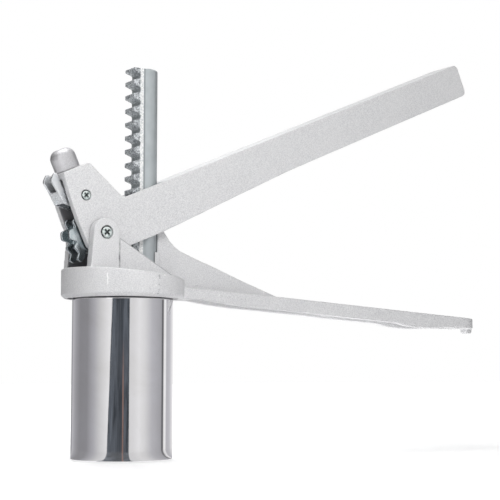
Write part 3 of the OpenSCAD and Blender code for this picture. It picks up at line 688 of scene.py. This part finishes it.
# Lamps: place, aim and size in metres, power in watts, and whether metal mirrors the lamp
LAMPS = {
    "key": {
        "at": (-0.22, -0.68, 0.50), "aim": (-0.02, 0, 0.14), "size": (0.36, 0.3), "power": 3.75,
        "mirrored": False,
    },
    "top": {
        "at": (-0.2, 0.1, 1.4), "aim": (0, 0, 0.1), "size": (0.9, 0.9), "power": 8,
        "mirrored": True,
    },
    "rear": {
        "at": (0.30, 0.85, 0.70), "aim": (0.02, 0, 0.14), "size": (0.5, 0.5), "power": 3.9,
        "mirrored": False,
    },
    "table": {
        "at": (0.19, 0, 0.003), "aim": (0.19, 0, 0.1), "size": (0.2, 0.03), "power": 0.05,
        "mirrored": False,
    },
}

# The floor: its half side and height in metres, its colour, and its own light by kind of ray. For the camera
# this light grows from FLOOR_NEAR to 1 between the two distances in FLOOR_FADE from the barrel's axis
FLOOR_HALF = 6
FLOOR_Z = -0.0004
FLOOR_COLOUR = (0.9, 0.9, 0.9)
FLOOR_FADE = (0.3, 1.3)
FLOOR_NEAR = 0.30
FLOOR_DIFFUSE = 0.12
FLOOR_GLOSSY = 0.45

# What the barrel mirrors: places across its face as the camera sees it, from -1 at its left edge to 1 at its
# right, and the brightness there
BARREL_STRIPES = (
    (-0.985, 0.28), (-0.96, 0.54), (-0.90, 0.38), (-0.82, 0.29), (-0.68, 0.30), (-0.54, 0.48), (-0.42, 0.70),
    (-0.26, 0.92), (0.14, 0.78), (0.22, 0.80), (0.33, 0.90), (0.44, 0.80), (0.58, 0.56), (0.70, 0.47),
    (0.765, 0.42), (0.775, 0.15), (0.80, 0.14), (0.815, 0.95), (0.85, 1.0), (0.865, 0.55), (0.93, 0.62),
    (0.98, 0.9),
)
# The brightness on the barrel's far side, away from the camera
FAR_SIDE = 0.9
# A stripe's red, green and blue as parts of its brightness. Dark stripes are colder
STRIPE_TINT = (1, 0.99, 1)
DARK_STRIPE_TINT = (1, 0.99, 1.05)
DARK_BELOW = 0.7
# The dark gap in the middle: its left edge at the barrel's mouth and at the collar, its right edge, the span
# of its darkest part, its tones and the softness of its edges in turns. A warm streak stands in it, with a
# half width in turns, and fades out between two heights
GAP_LEFT = (-0.285, -0.205)
GAP_RIGHT = 0.135
GAP_MIDDLE = (-0.14, 0.05)
GAP_TONES = ((0.045, 0.05, 0.058), (0.19, 0.21, 0.245))
GAP_EDGE = 0.001
STREAK_AT = 0.018
STREAK_HALF = 0.003
STREAK_FADE_Z = (0.045, 0.075)
STREAK_COLOUR = (0.36, 0.21, 0.17)
# The screens round the barrel and the table between them, in metres, and the table's colour and its share
REFLECTOR_RADIUS = 0.13
REFLECTOR_TOP = 0.112
TABLE_INNER_RADIUS = 0.0316
TABLE_Z = 0.0001
TABLE_COLOUR = (0.42, 0.42, 0.43)
TABLE_SHARE = 0.16

# The brightness of the room above, for the knob, the pawls and the rack, by direction in degrees: 0 is -X,
# 90 is -Y, 180 is +X and 270 is +Y. A bright window stands at 33, and dim walls at 170 to 226 and past 262
ROOM = (
    (0, 0.42), (20, 0.45), (25, 0.9), (28, 2.8), (38, 2.8), (42, 0.9), (48, 0.65), (62, 1.03), (120, 1.0),
    (135, 0.8), (158, 0.75), (170, 0.3), (226, 0.3), (232, 1.3), (254, 1.3), (262, 0.3), (280, 0.18),
    (330, 0.18), (359, 0.42),
)
ROOM_RADIUS = 0.6
ROOM_TOP = 0.62
BAND_STEPS = 96


def add_world():
    """White for the camera, glossy and transmission rays, and a dim pale light for the rest."""
    world = bpy.data.worlds.new("studio")
    bpy.context.scene.world = world
    world.use_nodes = True
    world.node_tree.nodes.clear()
    n = NodeTree(world.node_tree)
    rays = n.add("LightPath").outputs
    seen = n.compute("MAXIMUM", rays["Is Camera Ray"], rays["Is Glossy Ray"])
    seen = n.compute("MAXIMUM", seen, rays["Is Transmission Ray"])
    lamp = n.light("Background", WORLD_COLOUR, WORLD_STRENGTH)
    shown = n.light("Background", WHITE)
    n.fill(n.add("OutputWorld").inputs["Surface"], n.mix_shaders(seen, lamp, shown))


def add_lamp(name, at, aim, size, power, mirrored):
    data = bpy.data.lights.new(name, "AREA")
    data.shape = "RECTANGLE"
    data.size, data.size_y = size
    data.energy = power
    lamp = bpy.data.objects.new(name, data)
    bpy.context.scene.collection.objects.link(lamp)
    lamp.location = at
    lamp.rotation_euler = (Vector(aim) - Vector(at)).to_track_quat("-Z", "Y").to_euler()
    lamp.visible_glossy = mirrored
    lamp.visible_camera = False


def staged(name, corners, faces, material):
    """A piece of the studio, which isn't part of the object."""
    mesh = bpy.data.meshes.new(name)
    mesh.from_pydata(corners, [], faces)
    obj = new_piece(name, mesh, material)
    return obj


def add_floor():
    """A pale floor that is near white for the camera, keeps a soft shadow near the object, and throws a
    little light of its own at its undersides. It is clear from below, to show the barrel's mouth."""
    n = Finish("pale_floor")
    n.set(Base_Color=FLOOR_COLOUR, Roughness=0.7)
    x, y, _ = n.place()
    away = n.spread(n.length(x, y), FLOOR_FADE, (FLOOR_NEAR, 1.0))
    rays = n.add("LightPath").outputs
    plain = n.shader.outputs[0]
    shader = plain
    for ray, strength in (
        ("Is Camera Ray", away),
        ("Is Diffuse Ray", FLOOR_DIFFUSE),
        ("Is Glossy Ray", FLOOR_GLOSSY),
    ):
        brighter = n.add("AddShader")
        n.fill(brighter.inputs[0], plain)
        n.fill(brighter.inputs[1], n.light("Emission", WHITE, strength))
        shader = n.mix_shaders(rays[ray], shader, brighter.outputs[0])
    below = n.add("NewGeometry").outputs["Backfacing"]
    clear = n.add("BsdfTransparent").outputs[0]
    n.fill(n.surface, n.mix_shaders(below, shader, clear))
    corners = [(sx * FLOOR_HALF, sy * FLOOR_HALF, FLOOR_Z) for sx, sy in ((-1, -1), (1, -1), (1, 1), (-1, 1))]
    staged("floor", corners, [(0, 1, 2, 3)], n.material)


def add_band(name, lower, upper, material):
    """A band round the Z axis between two rings of (radius, height), which only reflections show."""
    corners = []
    faces = []
    for step in range(BAND_STEPS):
        angle = 2 * math.pi * step / BAND_STEPS
        for radius, height in (lower, upper):
            corners.append((radius * math.cos(angle), radius * math.sin(angle), height))
        this = 2 * step
        following = 2 * ((step + 1) % BAND_STEPS)
        faces.append((this, following, following + 1, this + 1))
    card = staged(name, corners, faces, material)
    card.visible_camera = False
    card.visible_diffuse = False
    card.visible_shadow = False
    card.visible_transmission = False


def mirrored_place(share):
    """Where on the screens a point of the barrel's face looks, in turns, with 0.5 towards the camera."""
    low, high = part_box("barrel_tube")
    barrel_radius = (high.x - low.x) / 2
    turn = math.asin(share)
    shift = math.asin(barrel_radius * math.sin(turn) / REFLECTOR_RADIUS)
    return (2 * turn - shift) / (2 * math.pi) + 0.5


def stripe_stops():
    """The screens' colours by their place in turns, from the barrel's far side."""
    stops = [(0, (FAR_SIDE, FAR_SIDE, FAR_SIDE))]
    for share, value in BARREL_STRIPES:
        tint = DARK_STRIPE_TINT if value < DARK_BELOW else STRIPE_TINT
        stops.append((mirrored_place(share), tuple(value * part for part in tint)))
    return stops


def gap_colour(n, place, z):
    """The dark gap that the camera looks through: cold, mottled, darker in its middle, with a warm streak."""
    mottle = n.noise(1, detail=5, roughness=0.65, vector=n.stretched(60, 60, 22), distortion=0.8)
    middle = n.within(place, [mirrored_place(share) for share in GAP_MIDDLE], edge=0.02)
    light = n.times(n.spread(mottle, (0.35, 0.65)), n.spread(middle, (0, 1), (1, 0.35)))
    streak_at = mirrored_place(STREAK_AT)
    streak = n.times(
        n.within(place, (streak_at - STREAK_HALF, streak_at + STREAK_HALF), edge=0.001),
        n.spread(z, STREAK_FADE_Z, (0.8, 0)),
    )
    return n.mix(streak, n.mix(light, *GAP_TONES), STREAK_COLOUR)


def add_reflector():
    """The room as the barrel mirrors it: pale screens at its sides, the dark gap that the camera looks
    through, and the table beside the barrel, which its foot mirrors and which carries the same stripes."""
    n = Finish("reflector")
    x, y, z = n.place()
    towards = Vector((CAMERA_AT.x, CAMERA_AT.y)).normalized()
    along = n.plus(n.times(x, towards.x), n.times(y, towards.y))
    across = n.minus(n.times(y, towards.x), n.times(x, towards.y))
    place = n.plus(n.turns(across, along), n.waver(n.noise(11, detail=3), 0.004))
    left = n.plus(
        n.spread(z, (0, 0.10), [mirrored_place(share) for share in GAP_LEFT]),
        n.waver(n.noise(1, detail=3, vector=n.stretched(4, 4, 45)), 0.006),
    )
    right = mirrored_place(GAP_RIGHT)
    inside = n.times(
        n.spread(n.minus(place, left), (-GAP_EDGE, GAP_EDGE)),
        n.spread(place, (right - GAP_EDGE, right + GAP_EDGE), (1, 0)),
    )
    colour = n.mix(inside, n.ramp(place, stripe_stops()), gap_colour(n, place, z))
    colour = n.mix(n.spread(z, (2 * TABLE_Z, 4 * TABLE_Z), (TABLE_SHARE, 0)), colour, TABLE_COLOUR)
    screens = n.glow(colour)
    add_band("reflector", (REFLECTOR_RADIUS, 0), (REFLECTOR_RADIUS, REFLECTOR_TOP), screens)
    add_band("table_mirrored", (TABLE_INNER_RADIUS, TABLE_Z), (REFLECTOR_RADIUS, TABLE_Z), screens)


def add_room():
    """The room higher up, which the knob, the pawls and the rack mirror."""
    n = Finish("room_mirrored")
    x, y, _ = n.place()
    stops = [(degrees / 360, (value, value, value)) for degrees, value in ROOM]
    walls = n.glow(n.ramp(n.turns(y, x), stops))
    add_band("room_mirrored", (ROOM_RADIUS, 0), (ROOM_RADIUS, ROOM_TOP), walls)


# The press
BODY_MARKS = (ear_shade_and_dirt, brace_shade_line, collar_marks, collar_wear)


def dressed(obj, node, body):
    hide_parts(node)
    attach(obj, body)


def painted(node, material):
    """A node that stays as it is, with a better material."""
    obj = nodes[node]
    obj.data.materials.clear()
    obj.data.materials.append(material)


def add_press():
    body_paint = silver_paint("body_paint", BODY_MARKS)
    paint = silver_paint("silver_paint")
    steel = mirror_steel()
    pin = turned_steel()
    plates = {name: zinc(name, **kind) for name, kind in ZINC.items()}
    screw_zinc = plates["screw_zinc"]

    for node, name, material, softness, body, slot in (
        ("body_casting", "body_shell", body_paint, CASTING, "body", "silver_casting"),
        ("lever_casting", "lever_shell", paint, CASTING, "lever", "silver_casting"),
        ("thumb_knob", "knob_shell", knob_metal(), KNOB, "lever", "knob_metal"),
        ("rack_rod", "rack_bar", rack_plate(), RACK, "rack", "rack_steel"),
        ("drive_pawl", "drive_pawl_sheet", plates["drive_zinc"], SHEET, "upper_pawl", "pawl_steel"),
        ("hold_pawl", "hold_pawl_sheet", plates["hold_zinc"], SHEET, "lower_pawl", "pawl_steel"),
    ):
        dressed(softened(node, name, material, **softness), node, body)
    dressed(lathe("barrel_shell", barrel_profile(), steel), "barrel_tube", "barrel")
    for node, body in (("drive_spring", "lever"), ("hold_spring", "body")):
        dressed(coil_copy(node, node + "_wire", plates["spring_wire"]), node, body)

    for node, material in (
        ("main_pin", pin),
        ("pawl_pin", pin),
        ("main_pin_screws", screw_plate("main_screw_zinc", *MAIN_SCREW)),
        ("pawl_pin_screws", screw_plate("pawl_screw_zinc", *PAWL_SCREW)),
        ("knob_screw", screw_zinc),
        ("piston_screw", screw_zinc),
        ("piston_washer", screw_zinc),
        ("piston_hub", paint),
        ("piston_plate", steel),
        ("barrel_lugs", steel),
        ("die_plate", steel),
    ):
        painted(node, material)


add_camera()
add_world()
add_floor()
add_reflector()
add_room()
for lamp_name, lamp_values in LAMPS.items():
    add_lamp(lamp_name, **lamp_values)
add_press()
bpy.context.scene.view_settings.view_transform = "Standard"
